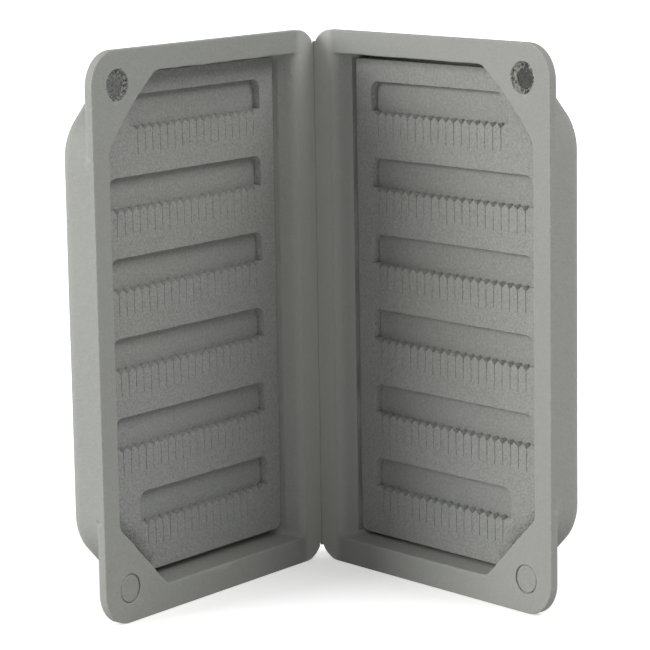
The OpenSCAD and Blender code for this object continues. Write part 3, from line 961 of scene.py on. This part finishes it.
# Scuffs on the cover discs, in the terms of the torn places
SCUFFS = {
    LEFT: [(-1.0, 3.3, 0.5, 0.07), (2.9, 0.8, 0.4, 0.06)],
    RIGHT: [(-0.5, 2.35, 0.3, 0.1), (-0.5, 1.55, 0.3, 0.1), (-0.95, 1.95, 0.25, 0.08),
            (-0.05, 1.95, 0.25, 0.08), (2.3, -1.7, 0.4, 0.2), (2.4, -0.4, 0.35, 0.14),
            (0.3, -0.6, 0.6, 0.05), (-1.5, 0.4, 0.5, 0.05)]}


def make_discs(side):
    word = WORD[side]

    def worn(x, y):
        return 0.012 * waver(x * 1.1, y * 1.1, side * 5.0)

    top = FACE + 0.5
    make_disc("magnet_disc_upper_" + word, side, (MAGNET_U, UPPER_V),
              [(0.6, top), (1.6, top), (2.6, top), (3.2, top), (3.36, top + 0.03), (3.46, top + 0.12),
               (MAGNET_R, top + 0.28), (MAGNET_R, top + 1.4), (3.3, top + MAGNET_T)],
              MAGNET[side], "magnet_upper_" + word, worn)
    face = FACE - 0.12
    low = face + 0.7
    make_disc("magnet_disc_lower_" + word, side, (MAGNET_U, LOWER_V),
              [(1.5, low), (3.3, low), (MAGNET_R, low + 0.2), (MAGNET_R, low + 1.4), (3.3, low + MAGNET_T)],
              MAGNET[side], "magnet_lower_" + word)

    def pressed(x, y):
        """The disc leans, its rim is pinched up a little and it has scuffs."""
        r = math.hypot(x, y)
        rim = math.exp(-((r - 3.75) / 0.3) ** 2) - 0.4 * math.exp(-((r - 2.95) / 0.35) ** 2)
        rough = 0.03 * waver(x * 1.1, y * 1.1, side * 5.0 + 9)
        return -0.016 * x + 0.008 * y - 0.05 * rim + rough + heap(SCUFFS[side], x, y)

    profile = [(0.3 + 0.25 * k, face + 0.1) for k in range(14)]
    profile += [(3.75, face + 0.09), (3.9, face + 0.09), (4.05, face + 0.12), (4.18, face + 0.19),
                (4.26, face + 0.32), (4.28, face + 0.5), (4.1, face + 0.64)]
    raised = {LEFT: 0.0, RIGHT: 0.12}[side]
    make_disc("cover_foam_" + word, side, (COVER_U[side] + 0.3, COVER_V + raised), profile,
              COVER_FOAM, "cover_disc_" + word, pressed)


# Section of the fold as (u, w): from its web in the right flange along the crease and back behind it
FOLD_SECTION = [
    (0.74, 0.27), (0.5, 0.26), (0.2, 0.26), (-0.08, 0.26), (-0.24, 0.27), (-0.43, 0.37), (-0.31, 0.14),
    (-0.26, -0.06), (-0.19, -0.38), (-0.15, -0.56), (-0.2, -0.63), (-0.36, -0.54), (-0.5, -0.36),
    (-0.54, -0.15), (-0.55, 0.05), (-0.55, 0.25), (-0.5, 0.46), (-0.3, 0.66), (0.05, 0.8), (0.35, 0.9),
    (0.74, 0.9)]
FOLD_MIDDLE_W = 0.45


def make_fold():
    """Fold on the hinge axis, thinned towards both ends, where its web still reaches the flange."""
    piece = Piece()
    rings = []
    low, high = NOTCH_H - 0.8, TRAY_H - NOTCH_H + 0.8
    ends = (0.0, 0.06, 0.2, 0.5, 1.2)
    parts = 40
    heights = [low + e for e in ends]
    heights += [low + ends[-1] + k * (high - low - 2 * ends[-1]) / parts for k in range(1, parts)]
    heights += [high - e for e in reversed(ends)]
    for v in heights:
        end = min(v - low, high - v)
        size = 0.55 + 0.45 * math.sqrt(min(1.0, end / 0.8))
        bend = 0.01 * waver(0, 0, v * 0.2)
        rings.append([((u if u > 0.6 else u * size) + bend, v, FOLD_MIDDLE_W + (w - FOLD_MIDDLE_W) * size)
                      for u, w in FOLD_SECTION])
    starts = piece.loft(rings)
    for start in (starts[0], starts[-1]):
        piece.cap(start, len(FOLD_SECTION))
    piece.build("foam_fold", RIGHT, SHELL_FOAM, "hinge_web", 50)


make_camera()
make_studio()
for tray in (LEFT, RIGHT):
    make_shell(tray)
    make_slotted_sheet(tray)
    make_backing(tray)
    make_discs(tray)
make_fold()
